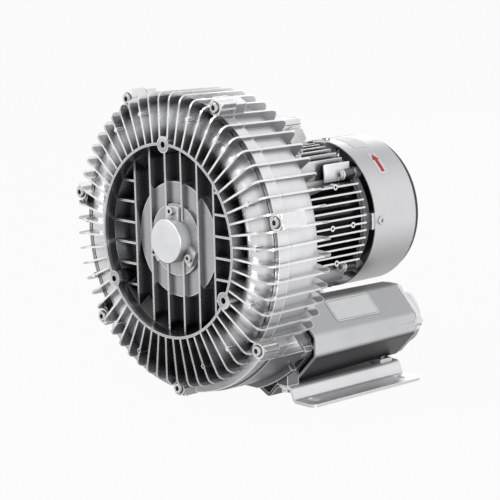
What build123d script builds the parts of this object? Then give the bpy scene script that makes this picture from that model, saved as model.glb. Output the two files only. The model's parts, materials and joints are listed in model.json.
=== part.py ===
from build123d import *
import os
from math import hypot, radians, sin, sqrt, tan

# Side channel blower with its motor, silencers and feet. Lengths in mm.
# Pieces are drawn about the shaft: its axis is Y, x = z = 0 on it, y = 0 at the cover's front rim.
# They are written out with the floor at z = 0 and the origin in the middle of the foot holes.
# A section is drawn as (radius, y); "clock" angles run from 12 o'clock towards +X.

# Where the feet lie under the shaft
silencer_over_floor = 68.0
rim_to_feet = 188.0

# Side channel and casting
channel_r = 141.0
channel_half = 22.0
wall = 4.5
split_y = 36.5
gasket_t = 0.8
chamber_w = 37.5
land_w = 24.0
stripper_deg = 24.0

# Cooling fins on the two casings
fin_count = 56
fin_t = 2.4
fin_front_y = 0.6
fin_crown_y = 3.0
fin_tip_over = 35.5
fin_tip_bend = 9.0
fin_rear_over = 32.5
fin_rear_y = 106.0
port_fin_span = (20, 28)
nub_r = 2.8
nub_over = 12.0
nub_fins = (2.5, 5.5, 10.5, 13.5, 17.5, 21.5, 24.5)

# Smooth skirt over the two ducts, between the lowest screws
skirt_span = (133.0, 173.0)
skirt_over = 45.0
skirt_step = 2.0
skirt_wall = 4.0
skirt_rear_y = 86.5
flange_over = 52.5
flange_t = 8.0
flange_from = 142.0
flange_over_floor = 11.0
ledge_in = 19.0
ledge_out = 44.0
ledge_rise = 3.0
ledge_t = 7.0

# Front cover
rim_t = 3.0
dish_under = 27.4
dish_step_y = 14.0
dish_floor_y = 29.0
dish_slope = 9.6
dish_plate_back = 3.0
lip_t = 6.0
lip_y = 21.0
platform_r = 69.0
platform_y = 19.5
rib_t = 2.6
rib_y = 13.7
rib_pitch = 28.2
side_rib_pitch = 25.4
ring_boss_r = 10.0
ring_boss_over = 1.1
ring_hole_r = 4.0
ring_hole_depth = 20.0
hub_r = 43.0
hub_y = 15.5

# Cover screws
cover_screws = 7
cover_circle_over = 39.0
cover_screw_r = 4.0
cover_head_r = 6.5
cover_head_h = 8.0
cover_boss_r = 9.5
cover_boss_y = 13.4
cover_sink = 5.0
pad_len = 16.0
pad_rim = 7.0
thread_len = 12.0

# Shaft, bearings and seal
bearing_r = 26.0
bearing_bore_r = 12.5
bearing_w = 15.0
race_t = 3.4
ball_r = 3.9
ball_count = 8
front_bearing_y = 18.6
nut_seat_r = 13.0
hub_seat_r = 14.0
seal_seat_r = 16.0
rotor_seat_r = 19.0
fan_seat_r = 11.0
shaft_front_y = 15.0
seal_r = 23.0
seal_w = 8.0

# Impeller
impeller_gap = 0.5
impeller_tip_gap = 1.0
blade_count = 42
blade_t = 2.5
impeller_rim_t = 3.5
impeller_web_t = 5.0
impeller_hub_r = 30.0
nut_h = 7.0
nut_r = 20.0
washer_t = 1.5
key_w = 8.0
key_h = 3.4

# Bearing cap on the cover
cap_r = 26.7
cap_y = -0.6
cap_ear_r = 41.0
cap_ear_w = 21.0
cap_ear_t = 4.5
cap_screw_r = 3.0
cap_screw_circle_r = 35.0
cap_wall = 2.5

# Motor
motor_front_y = 100.0
frame_bore_r = 65.0
frame_wall = 6.0
frame_end_y = 254.0
frame_fin_r = 90.0
frame_fin_t = 2.2
frame_fin_pitch = 9.4
frame_fin_margin = 8.0
frame_nub_r = 3.6
frame_nub_hole_r = 1.7
frame_nubs = ((67, 0), (32, 0), (86, 5), (48, 5), (86, -5), (48, -5))
core_len = 80.0
core_shift = 3.0
rotor_r = 37.5
air_gap = 0.5
winding_len = 24.0
lug_circle_r = 81.0
lug_r = 7.0
lug_len = 20.0
motor_screw_r = 3.0
shield_t = 8.0

# Fan and cowl
cowl_r = 92.8
cowl_t = 1.4
cowl_gap = 4.6
cowl_len = 75.4
cowl_bend = 5.0
cowl_screw_in = 8.7
cowl_screw_r = 2.5
grille_out = 7.0
grille_r = 89.0
fan_r = 78.0
fan_gap = 30.0
fan_w = 36.0
fan_blades = 7
fan_blade_t = 2.4

# Terminal box
box_w = 112.0
box_d = 62.0
box_mid_y = 142.0
box_low_z = 88.0
box_high_z = 126.0
box_wall = 3.5
box_screw_x = 36.0
box_screw_y = 18.0
box_gasket_t = 1.0
lid_t = 7.0
lid_screw_inset = 8.0
entry_r = 12.5
entry_boss_r = 15.5
entry_boss_len = 3.0
entry_pitch = 30.0
entry_z = 110.0
entry_stem = 6.0
earth_inset = 7.0
earth_screw_r = 2.2

# Silencers, at both sides under the motor
silencer_x = 85.0
port_over = 11.82
silencer_half_w = 46.0
silencer_half_h = 45.0
silencer_slope = 34.0
silencer_bend = 10.0
silencer_wall = 3.0
silencer_front_y = 112.0
silencer_rear_y = 288.0
silencer_draft = 1.0
tube_r = 22.0
tube_t = 1.5
port_block_y = 77.0
port_block_in = 4.0
port_plate_t = 6.0
port_neck_low = 13.0
port_bore_r = 20.0
tie_inset = 8.5
tie_screw_r = 3.0
tie_post_r = 5.5
end_gap = 2.5
tie_head_room = 6.3
end_t = 8.0
end_boss_r = 35.0
end_boss_len = 11.0
port_thread_r = 28.3

# Foot rails
foot_t = 4.0
foot_outer = 51.0
foot_bend_out = 17.0
hump_half = 10.0
trough_in = 25.0
foot_inner = 45.0
foot_inner_rise = 10.0
hump_rise = 19.5
foot_bend = 3.5
foot_len = 186.0
foot_slot_out = 31.0
foot_slot_pitch_y = 146.0
foot_slot_w = 10.0
foot_slot_len = 18.0
foot_screw_r = 4.0
leg_out = 11.0
leg_w = 18.0
leg_y = 102.2
leg_len = 18.4
rear_pad_y = 262.0

# Clearances
fit = 0.05
bore_play = 0.4

# Derived sizes
silencer_z = -round(sqrt((channel_r + port_over) ** 2 - silencer_x**2), 1)
axis_height = silencer_over_floor - silencer_z
floor_z = -axis_height
fin_tip_r = channel_r + fin_tip_over
fin_rear_r = channel_r + fin_rear_over
nub_circle_r = channel_r + nub_over
dish_r = channel_r - dish_under
dish_floor_r = dish_r - dish_slope
ring_boss_circle_r = dish_r + ring_boss_over
skirt_r = channel_r + skirt_over
flange_r = channel_r + flange_over
cover_circle_r = channel_r + cover_circle_over
cowl_front_y = frame_end_y + cowl_gap
cowl_rear_y = cowl_front_y + cowl_len
cowl_screw_y = cowl_front_y + cowl_screw_in
grille_y = cowl_rear_y + grille_out
fan_front_y = frame_end_y + fan_gap
core_mid_y = (motor_front_y + frame_end_y) / 2 + core_shift
silencer_flat = silencer_half_w - silencer_slope
tie_x = silencer_half_w - tie_inset
leg_x = silencer_x + leg_out
housing_y = split_y + gasket_t
rear_land_y = split_y + chamber_w
chamber_r = channel_r + channel_half
channel_in_r = channel_r - channel_half
casing_half = channel_half + wall
rim_r = dish_r + rim_t
lip_r = channel_r + casing_half + lip_t - 1.5
land_in_r = channel_in_r - land_w
pitch_deg = 360 / fin_count
impeller_front_y = split_y + impeller_gap
impeller_w = chamber_w - 2 * impeller_gap
impeller_rear_y = impeller_front_y + impeller_w
impeller_r = chamber_r - impeller_tip_gap
hub_front_y = impeller_front_y + 3.0
plate_back_y = rear_land_y + wall + 3.5
frame_wall_r = frame_bore_r + frame_wall
bearing_end_y = front_bearing_y + bearing_w
core_front_y = core_mid_y - core_len / 2
core_rear_y = core_mid_y + core_len / 2
shield_y = frame_end_y
rear_bearing_y = shield_y + 2.0
shaft_end_y = fan_front_y + fan_w + 2.0
seal_y = plate_back_y
hump_z = floor_z + hump_rise
port_end_y = silencer_front_y - 0.6
earth_y = box_mid_y + box_d / 2 - earth_inset
side_x = (-1, 1)
corners_4 = (45, 135, 225, 315)

radial = Plane(origin=(0, 0, 0), x_dir=(0, 0, 1), z_dir=(-1, 0, 0))
cross = Plane(origin=(0, 0, 0), x_dir=(1, 0, 0), z_dir=(0, -1, 0))


def rect(r0, r1, y0, y1):
    """A rectangle from r0 to r1 across and y0 to y1 up."""
    return Polygon((r0, y0), (r1, y0), (r1, y1), (r0, y1), align=None)


def spun(section):
    """A (radius, y) section turned about the shaft."""
    return revolve(section, Axis.Y, 360)


def ring(r0, r1, y0, y1):
    """A plain ring about the shaft."""
    return spun(rect(r0, r1, y0, y1))


def sector(r0, r1, y0, y1, start, end):
    """Part of a plain ring, between two clock angles."""
    return clock(revolve(rect(r0, r1, y0, y1), Axis.Y, end - start), start - 90)


def both_sides(r0, r1, y0, y1, start, end):
    """A ring sector on the right and its twin on the left."""
    return [sector(r0, r1, y0, y1, start, end), sector(r0, r1, y0, y1, 360 - end, 360 - start)]


def disc(r, y0, y1, x=0.0, z=0.0):
    """A round bar along Y."""
    return Pos(x, (y0 + y1) / 2, z) * Rot(90, 0, 0) * Cylinder(r, y1 - y0)


def block(x0, x1, y0, y1, z0, z1):
    """A box between its limits."""
    middle = Pos((x0 + x1) / 2, (y0 + y1) / 2, (z0 + z1) / 2)
    return middle * Box(x1 - x0, y1 - y0, z1 - z0)


def clock(shape, angle):
    """A shape drawn at 12 o'clock, turned to a clock angle."""
    return Rot(0, angle, 0) * shape


def radial_plate(section, thickness):
    """A (radius, y) section as a plate that stands at 12 o'clock."""
    return extrude(radial * section, thickness / 2, both=True)


def along_shaft(sketch, y0, y1):
    """An (x, z) sketch pushed along the shaft from y0 to y1."""
    return extrude(Pos(0, y1, 0) * (cross * sketch), y1 - y0)


def rounded(section, point, radius):
    """A section with the corner nearest a point rounded."""
    corner = section.vertices().sort_by_distance((point[0], point[1], 0))[0]
    return fillet(corner, radius)


def screw(shank_r, head_r, head_h, length, socket=True):
    """A screw along +Y: head below y = 0, shank from 0 to length."""
    body = disc(head_r, -head_h, 0) + disc(shank_r, -0.5, length)
    body = chamfer(body.edges().group_by(Axis.Y)[0], head_h * 0.1)
    if socket:
        key = extrude(Pos(0, -head_h / 2, 0) * (cross * RegularPolygon(head_r * 0.55, 6)), head_h)
        body -= key
    return body


def hex_screw(shank_r, flats, head_h, length):
    """A hexagon-head screw along +Y: head below y = 0."""
    head = along_shaft(RegularPolygon(flats / 2, 6, major_radius=False), -head_h, 0)
    washer = disc(flats * 0.55, -1.0, 0)
    return head + washer + disc(shank_r, -0.5, length)


# ---- Casings -------------------------------------------------------------


def half_torus(y, radius, front):
    """Half of the channel's round section, in front of or behind y."""
    far = -2 * radius if front else 2 * radius
    low, high = min(y, y + far), max(y, y + far)
    keep = rect(channel_r - 2 * radius, channel_r + 2 * radius, low, high)
    return (Pos(channel_r, y) * Circle(radius)) & keep


def stripper(y, front):
    """The block at 6 o'clock that closes the channel between outlet and inlet."""
    section = half_torus(y, channel_half + wall / 2, front)
    wedge = revolve(section, Axis.Y, stripper_deg)
    return clock(wedge, 90 - stripper_deg / 2)


def cover_section():
    wall_outline = Polygon(
        (dish_r, 0),
        (rim_r, 0),
        (rim_r, split_y),
        (dish_floor_r - wall, split_y),
        (dish_floor_r - wall, dish_floor_y),
        (dish_floor_r, dish_floor_y),
        (dish_r - 1.1, dish_step_y),
        align=None,
    )
    section = wall_outline + half_torus(split_y, casing_half, True)
    section += rect(lip_r - lip_t, lip_r, lip_y, split_y)
    section += rect(dish_floor_r - wall, channel_in_r + wall, split_y - wall, split_y)
    section += rect(bearing_r, dish_floor_r, dish_floor_y, split_y)
    section += rect(bearing_r, platform_r, platform_y, dish_floor_y + 1)
    section += rect(nut_r + bore_play, hub_r, hub_y, split_y)
    section -= half_torus(split_y, channel_half, True)
    section -= rect(hub_r + wall, land_in_r, split_y - dish_plate_back, split_y + 1)
    section -= rect(0, bearing_r + fit, hub_y - 1, bearing_end_y)
    return section


def front_fin():
    outline = Polygon(
        (rim_r - rim_t / 3, fin_front_y),
        (channel_r + casing_half - 1, fin_crown_y),
        (fin_tip_r, fin_crown_y + 2),
        (fin_tip_r - 1, split_y),
        (rim_r - rim_t / 3, split_y),
        align=None,
    )
    outline = rounded(outline, (fin_tip_r, fin_crown_y + 2), fin_tip_bend)
    outline -= Pos(channel_r, split_y) * Circle(channel_half + wall / 2)
    return radial_plate(outline, fin_t)


def cover_boss():
    outer_r = cover_circle_r + cover_boss_r
    reach = rect(lip_r - lip_t / 2, outer_r - 0.5, cover_boss_y + 1.5, split_y)
    reach = rounded(reach, (outer_r - 0.5, cover_boss_y + 1.5), 1.5)
    boss = disc(cover_boss_r, cover_boss_y, split_y, 0, cover_circle_r)
    return boss + radial_plate(reach, 2 * cover_boss_r - 1)


def ledge(side, y0, y1):
    """The level bar beside a port, in line with the joint's lowest side screw."""
    top = silencer_z + ledge_rise
    x0, x1 = sorted((side * (silencer_x + ledge_in), side * (silencer_x + ledge_out)))
    return block(x0, x1, y0, y1, top - ledge_t, top)


def dish_ribs():
    ribs = []
    for step in (0.5, 1.5, 2.5):
        for side in side_x:
            x = side * step * rib_pitch
            ribs.append(block(x - rib_t / 2, x + rib_t / 2, rib_y, dish_floor_y + 1, -rim_r, rim_r))
            z = side * step * side_rib_pitch
            for end in side_x:
                x0, x1 = sorted((end * 2.5 * rib_pitch, end * rim_r))
                ribs.append(block(x0, x1, rib_y, dish_floor_y + 1, z - rib_t / 2, z + rib_t / 2))
    limits = ring(cap_r + 1.0, dish_r + 0.8, rib_y - 1, dish_floor_y + 2)
    return [rib & limits for rib in ribs]


def front_cover():
    body = spun(cover_section())
    adds = [clock(front_fin(), (i + 0.5) * pitch_deg) for i in range(fin_count)]
    adds += [clock(cover_boss(), 180 + i * 360 / cover_screws) for i in range(cover_screws)]
    adds += dish_ribs()
    adds.append(stripper(split_y, True))
    for fin in nub_fins:
        nub = disc(nub_r, fin_front_y + 0.8, split_y - channel_half - wall / 2, 0, nub_circle_r)
        adds += [clock(nub, side * fin * pitch_deg) for side in side_x]
    for i in range(3):
        adds.append(clock(disc(ring_boss_r, -0.4, dish_floor_y + 1, 0, ring_boss_circle_r), 120 * i))
    adds += both_sides(lip_r - lip_t / 2, skirt_r - skirt_step, lip_y, split_y, *skirt_span)
    adds += [ledge(side, lip_y, split_y) - disc(lip_r - lip_t, 0, split_y + 1) for side in side_x]
    body = body.fuse(*adds)
    cuts = []
    for i in range(3):
        hole = disc(ring_hole_r, -1, ring_hole_depth, 0, ring_boss_circle_r)
        cuts.append(clock(hole, 120 * i))
        cuts.append(clock(disc(cap_screw_r + fit, hub_y - 1, hub_y + 12, 0, cap_screw_circle_r), 120 * i))
    for i in range(cover_screws):
        hole = disc(cover_screw_r + bore_play, cover_boss_y - 1, split_y + 1, 0, cover_circle_r)
        hole += disc(cover_head_r + 0.8, cover_boss_y - 1, cover_boss_y + cover_sink, 0, cover_circle_r)
        cuts.append(clock(hole, 180 + i * 360 / cover_screws))
    return body.cut(*cuts)


def housing_section():
    section = Polygon(
        (seal_r - 8, rear_land_y),
        (chamber_r, rear_land_y),
        (chamber_r, housing_y),
        (channel_r + casing_half + 2, housing_y),
        (channel_r + casing_half, rear_land_y),
        (channel_r + casing_half - 1, rear_land_y + wall),
        (seal_r - 8, rear_land_y + wall),
        align=None,
    )
    section += half_torus(rear_land_y, casing_half, False)
    section += rect(seal_r - 8, frame_wall_r + 8, rear_land_y, plate_back_y)
    section += rect(frame_bore_r - 8, frame_wall_r, plate_back_y - 1, motor_front_y)
    section += rect(seal_r - 8, seal_r + 6, rear_land_y, seal_y + seal_w + 1)
    section -= half_torus(rear_land_y, channel_half, False)
    section -= rect(impeller_hub_r + 6, land_in_r, rear_land_y - 1, rear_land_y + 2)
    section -= rect(0, seal_seat_r + bore_play, rear_land_y - 1, motor_front_y)
    section -= rect(0, seal_r + fit, seal_y, motor_front_y)
    return section


def rear_fin():
    inner_r = channel_r + 2
    outline = Polygon(
        (chamber_r + wall / 2, housing_y),
        (fin_tip_r - 1, housing_y),
        (fin_rear_r, fin_rear_y),
        (inner_r, fin_rear_y),
        (inner_r, rear_land_y),
        (chamber_r + wall / 2, rear_land_y),
        align=None,
    )
    outline = rounded(outline, (fin_rear_r, fin_rear_y), fin_tip_bend)
    outline = rounded(outline, (inner_r, fin_rear_y), 3.0)
    outline -= Pos(channel_r, rear_land_y) * Circle(channel_half + wall / 2)
    return radial_plate(outline, fin_t)


def skirts():
    """The smooth walls round the ducts, each closed at the back by the port flange."""
    start, end = skirt_span
    turn = 1.5
    rear_y = skirt_rear_y + flange_t
    walls = both_sides(chamber_r + wall / 2, skirt_r, housing_y, rear_y, start, end)
    inner = (chamber_r + wall, skirt_r - skirt_wall, housing_y - 1, skirt_rear_y)
    hollows = both_sides(*inner, start + turn, end - turn)
    flanges = both_sides(skirt_r - skirt_wall, flange_r, skirt_rear_y, rear_y, flange_from, end)
    keep = block(-flange_r, flange_r, 0, rear_y, floor_z + flange_over_floor, 0)
    return [solid - hollow for solid, hollow in zip(walls, hollows)] + [flange & keep for flange in flanges]


def silencer_outline(inset=0.0, bend=None):
    """Eight-sided section of a silencer, centred on its own axis."""
    w = silencer_half_w - inset
    h = silencer_half_h - inset
    flat_x = silencer_flat - inset * tan(radians(22.5))
    flat_z = h - (w - flat_x)
    quarter = [(w, -flat_z), (w, flat_z), (flat_x, h), (-flat_x, h)]
    points = quarter + [(-x, -z) for x, z in quarter]
    sketch = Polygon(*points, align=None)
    if bend == 0:
        return sketch
    return fillet(sketch.vertices(), silencer_bend - inset * 0.6)


def at_silencer(shape, side):
    return Pos(side * silencer_x, 0, silencer_z) * shape


def rear_housing():
    body = spun(housing_section())
    adds = []
    for i in range(fin_count // 2):
        if not port_fin_span[0] <= i < port_fin_span[1]:
            adds += [clock(rear_fin(), side * (i + 0.5) * pitch_deg) for side in side_x]
    pad_section = rect(chamber_r + wall / 2, cover_circle_r + pad_rim, housing_y, housing_y + pad_len)
    pad = radial_plate(pad_section, 2 * cover_boss_r - 1)
    adds += [clock(pad, 180 + i * 360 / cover_screws) for i in range(cover_screws)]
    void = spun(half_torus(rear_land_y, channel_half, False))
    for side in side_x:
        port = along_shaft(silencer_outline(port_block_in), port_block_y, port_end_y)
        keep = block(-99, 99, port_end_y - port_plate_t, port_end_y, -99, 99)
        port &= keep + block(-99, 99, port_block_y, port_end_y, -port_neck_low, 99)
        port += disc(port_bore_r + wall, port_block_y, port_end_y)
        x0, x1 = leg_x - leg_w / 2, leg_x + leg_w / 2
        leg = block(x0, x1, leg_y - leg_len / 2, leg_y + leg_len / 2, hump_z, silencer_z)
        leg += ledge(1, housing_y, port_end_y) - disc(chamber_r + wall / 2, 0, rear_land_y + 1)
        flange = at_silencer(port, side) + (leg if side > 0 else mirror(leg, Plane.YZ))
        adds.append(flange - void)
    adds += skirts()
    lug = radial_plate(rect(frame_wall_r - 2, lug_circle_r, plate_back_y - 2, motor_front_y), 2 * lug_r)
    lug += disc(lug_r, plate_back_y - 2, motor_front_y, 0, lug_circle_r)
    adds += [clock(lug, angle) for angle in corners_4]
    body = body.fuse(*adds)
    cuts = []
    for side in side_x:
        cuts.append(disc(port_bore_r, port_block_y + wall, silencer_front_y, side * silencer_x, silencer_z))
        for x in (-tie_x, tie_x):
            hole = disc(tie_screw_r + fit, silencer_front_y - 18, silencer_front_y, x)
            cuts.append(at_silencer(hole, side))
        hole = Pos(side * leg_x, leg_y, hump_z + 8) * Cylinder(foot_screw_r + fit, 18)
        cuts.append(hole)
    for i in range(cover_screws):
        hole = disc(cover_screw_r + fit, housing_y - 1, housing_y + thread_len + 3, 0, cover_circle_r)
        cuts.append(clock(hole, 180 + i * 360 / cover_screws))
    hole = disc(motor_screw_r + fit, motor_front_y - 14, motor_front_y + 1, 0, lug_circle_r)
    cuts += [clock(hole, angle) for angle in corners_4]
    body = body.cut(*cuts)
    return body.fuse(stripper(rear_land_y, False))


def cover_gasket():
    return ring(chamber_r + 1, channel_r + casing_half + 1.5, split_y, housing_y)


def cover_screw_set():
    length = split_y - cover_boss_y - cover_sink + gasket_t + thread_len
    one = screw(cover_screw_r, cover_head_r, cover_head_h, length)
    one = Pos(0, cover_boss_y + cover_sink, cover_circle_r) * one
    return [clock(one, 180 + i * 360 / cover_screws) for i in range(cover_screws)]


# ---- Shaft line ----------------------------------------------------------


def shaft():
    steps = [
        (bearing_bore_r, shaft_front_y, hub_front_y - 1),
        (nut_seat_r, hub_front_y - 1, hub_front_y + nut_h + washer_t),
        (hub_seat_r, hub_front_y + nut_h + washer_t, impeller_rear_y - 1),
        (seal_seat_r, impeller_rear_y - 1, seal_y + seal_w + 6),
        (rotor_seat_r, seal_y + seal_w + 6, rear_bearing_y - 14),
        (bearing_bore_r + 3, rear_bearing_y - 14, rear_bearing_y),
        (bearing_bore_r, rear_bearing_y, rear_bearing_y + bearing_w + 3),
        (fan_seat_r, rear_bearing_y + bearing_w + 3, shaft_end_y),
    ]
    section = rect(0, steps[0][0], steps[0][1], steps[0][2])
    for radius, start, end in steps[1:]:
        section += rect(0, radius, start, end)
    groove = rect(fan_seat_r - 0.8, fan_seat_r + 1, fan_front_y + fan_w - 1.4, fan_front_y + fan_w)
    body = spun(section - groove)
    body -= key_block(fit)
    return chamfer(body.edges().filter_by(GeomType.CIRCLE).group_by(Axis.Y)[0], 1.0)


def key_block(grow=0.0):
    """The impeller key, half in the shaft and half in the hub."""
    start = hub_front_y + nut_h + washer_t + 3
    half = key_w / 2 + grow
    reach = key_h + grow
    return block(-half, half, start - grow, start + 18 + grow, hub_seat_r - reach, hub_seat_r + reach)


def impeller():
    inner_r = channel_in_r + 1
    mid_y = (impeller_front_y + impeller_rear_y) / 2
    section = rect(hub_seat_r + fit, impeller_hub_r, hub_front_y, impeller_rear_y - 1)
    section += rect(impeller_hub_r - 1, inner_r, mid_y - impeller_web_t / 2, mid_y + impeller_web_t / 2)
    section += rect(inner_r - impeller_rim_t, inner_r, impeller_front_y, impeller_rear_y)
    divider = Polygon(
        (inner_r - 1, mid_y - 8),
        (channel_r + 8, mid_y - 1.2),
        (channel_r + 8, mid_y + 1.2),
        (inner_r - 1, mid_y + 8),
        align=None,
    )
    section += divider
    section -= rect(0, nut_r + bore_play, hub_front_y - 1, hub_front_y + nut_h + washer_t)
    body = spun(section)
    blade = radial_plate(rect(inner_r - 1, impeller_r, impeller_front_y, impeller_rear_y), blade_t)
    body = body.fuse(*[clock(blade, i * 360 / blade_count) for i in range(blade_count)])
    return body - key_block(fit)


def impeller_washer():
    start = hub_front_y + nut_h
    return ring(nut_seat_r + fit, nut_r, start, start + washer_t - fit)


def impeller_nut():
    body = ring(nut_seat_r + fit, nut_r, hub_front_y, hub_front_y + nut_h - fit)
    slot = block(-2.5, 2.5, hub_front_y - 1, hub_front_y + nut_h, nut_r - 2, nut_r + 1)
    return body.cut(*[clock(slot, i * 90) for i in range(4)])


def bearing(start):
    """Outer race, inner race, and ball set with its cage."""
    mid = start + bearing_w / 2
    track_r = (bearing_r + bearing_bore_r) / 2
    groove = Pos(track_r, mid) * Circle(ball_r + bore_play / 4)
    outer = rect(bearing_r - race_t, bearing_r, start, start + bearing_w) - groove
    inner = rect(bearing_bore_r + fit, bearing_bore_r + race_t, start, start + bearing_w) - groove
    half = ball_r + 1.2
    cage = ring(track_r - 1.2, track_r + 1.2, mid - half, mid + half)
    places = [Rot(0, i * 360 / ball_count, 0) * Pos(0, mid, track_r) for i in range(ball_count)]
    cage = cage.cut(*[place * Sphere(ball_r + fit) for place in places])
    balls = [place * Sphere(ball_r) for place in places]
    return spun(outer), spun(inner), [cage, *balls]


def bearing_cap():
    inner_y = hub_y - cap_ear_t
    top = disc(cap_r, cap_y, hub_y)
    top = fillet(top.edges().group_by(Axis.Y)[0], 1.6)
    ears = []
    for i in range(3):
        ears.append(clock(block(-cap_ear_w / 2, cap_ear_w / 2, inner_y, hub_y, 0, cap_ear_r + 2), 120 * i))
    flange = Part() + [ear & disc(cap_ear_r, inner_y, hub_y) for ear in ears]
    body = top + flange
    body += ring(bearing_r - race_t, bearing_r - fit, hub_y - 1, front_bearing_y - 1.2)
    body -= disc(cap_r - cap_wall - 2, cap_y + cap_wall, front_bearing_y)
    for i in range(3):
        body -= clock(disc(cap_screw_r + bore_play, inner_y - 1, hub_y + 1, 0, cap_screw_circle_r), 120 * i)
    return body


def bearing_cap_screw_set():
    one = Pos(0, hub_y - cap_ear_t, cap_screw_circle_r) * screw(cap_screw_r, 5.0, 5.0, cap_ear_t + 10)
    return [clock(one, 120 * i) for i in range(3)]


def wave_washer():
    return ring(bearing_r - race_t, bearing_r - 0.3, front_bearing_y - 1.1, front_bearing_y - 0.1)


def shaft_seal():
    section = rect(seal_seat_r + fit, seal_r, seal_y + fit, seal_y + seal_w)
    section -= rect(seal_seat_r + 2, seal_r - 2, seal_y + 2.5, seal_y + seal_w + 1)
    return spun(section)


# ---- Motor ---------------------------------------------------------------


def motor_fins():
    """Straight ribs: level at the sides, upright above and below, inside a round outline."""
    sketch = Sketch()
    count = int((lug_circle_r * sin(radians(45)) - lug_r - 1) / frame_fin_pitch)
    for i in range(-count, count + 1):
        offset = i * frame_fin_pitch
        inner = max(sqrt(frame_wall_r**2 - offset**2) - 1.5, 0)
        inner = max(inner, abs(offset) - 1)
        outer = sqrt(frame_fin_r**2 - offset**2)
        for side in side_x:
            low, high = sorted((side * inner, side * outer))
            sketch += rect(low, high, offset - frame_fin_t / 2, offset + frame_fin_t / 2)
            sketch += rect(offset - frame_fin_t / 2, offset + frame_fin_t / 2, low, high)
    return sketch


def motor_frame():
    tube = Circle(frame_wall_r) - Circle(frame_bore_r)
    body = along_shaft(tube, motor_front_y, frame_end_y)
    fins = along_shaft(motor_fins(), motor_front_y + frame_fin_margin, frame_end_y - frame_fin_margin)
    pad_y = box_d / 2 + 2
    pad_x = box_w / 2 - 6
    pad = block(-pad_x, pad_x, box_mid_y - pad_y, box_mid_y + pad_y, frame_bore_r * 0.5, box_low_z)
    pad -= disc(frame_bore_r + 1, motor_front_y, frame_end_y)
    trim = block(-frame_fin_r, frame_fin_r, motor_front_y, box_mid_y + pad_y, box_low_z, frame_fin_r + 5)
    body = body.fuse(fins - trim, pad)
    adds = [ring(frame_bore_r + 1, frame_wall_r + 4, motor_front_y, motor_front_y + 6)]
    adds.append(ring(frame_bore_r + 1, frame_wall_r + 8, frame_end_y - 6, frame_end_y))
    spans = ((motor_front_y, motor_front_y + lug_len), (frame_end_y - lug_len, frame_end_y))
    for start, end in spans:
        for angle in corners_4:
            adds.append(clock(disc(lug_r, start, end, 0, lug_circle_r), angle))
            adds.append(clock(radial_plate(rect(frame_wall_r - 2, lug_circle_r, start, end), lug_r), angle))
    for side in side_x:
        for from_end, row in frame_nubs:
            z = row * frame_fin_pitch
            x = side * (sqrt(frame_fin_r**2 - z**2) - 3)
            adds.append(Pos(x, frame_end_y - from_end, z) * Rot(0, 90, 0) * Cylinder(frame_nub_r, 7))
    body = body.fuse(*adds)
    cuts = [Pos(0, box_mid_y, box_low_z - 14) * Cylinder(9, 34)]
    for side in side_x:
        for from_end, row in frame_nubs:
            z = row * frame_fin_pitch
            x = side * sqrt(frame_fin_r**2 - z**2)
            cuts.append(Pos(x, frame_end_y - from_end, z) * Rot(0, 90, 0) * Cylinder(frame_nub_hole_r, 9))
    for start, end in spans:
        for angle in corners_4:
            cuts.append(clock(disc(motor_screw_r + bore_play, start - 1, end + 1, 0, lug_circle_r), angle))
    for x in side_x:
        for y in side_x:
            spot = Pos(x * box_screw_x, box_mid_y + y * box_screw_y, box_low_z - 5)
            cuts.append(spot * Cylinder(2 + fit, 14))
    return body.cut(*cuts)


def motor_screw_set():
    """Four screws hold the frame to the rear housing, four hold the rear end shield."""
    front = Rot(180, 0, 0) * hex_screw(motor_screw_r, 10, 4, lug_len + 12)
    front = Pos(0, motor_front_y + lug_len, lug_circle_r) * front
    rear = Rot(180, 0, 0) * hex_screw(motor_screw_r, 10, 4, shield_t + lug_len - 3)
    rear = Pos(0, shield_y + shield_t, lug_circle_r) * rear
    return [clock(piece, angle) for angle in corners_4 for piece in (front, rear)]


def stator_core():
    slots = Sketch()
    for i in range(24):
        slots += Rot(0, 0, i * 15) * Pos(rotor_r + air_gap + 9, 0) * Rectangle(12, 5)
    section = Circle(frame_bore_r - fit) - Circle(rotor_r + air_gap)
    return along_shaft(section - slots, core_front_y, core_rear_y)


def stator_windings():
    """The two winding heads, one at each end of the core."""
    heads = []
    for start in (core_front_y - winding_len, core_rear_y + fit):
        end = start + winding_len - fit
        section = rect(rotor_r + 4, frame_bore_r - 7, start, end)
        section = chamfer(section.vertices(), 5.0)
        heads.append(spun(section))
    return heads


def rotor_core():
    return ring(rotor_seat_r + fit, rotor_r, core_front_y, core_rear_y)


def rotor_end_rings():
    rings = []
    for y0, y1 in ((core_front_y - 9, core_front_y - fit), (core_rear_y + fit, core_rear_y + 9)):
        rings.append(ring(rotor_seat_r + 3, rotor_r - 1, y0, y1))
    return rings


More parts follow.
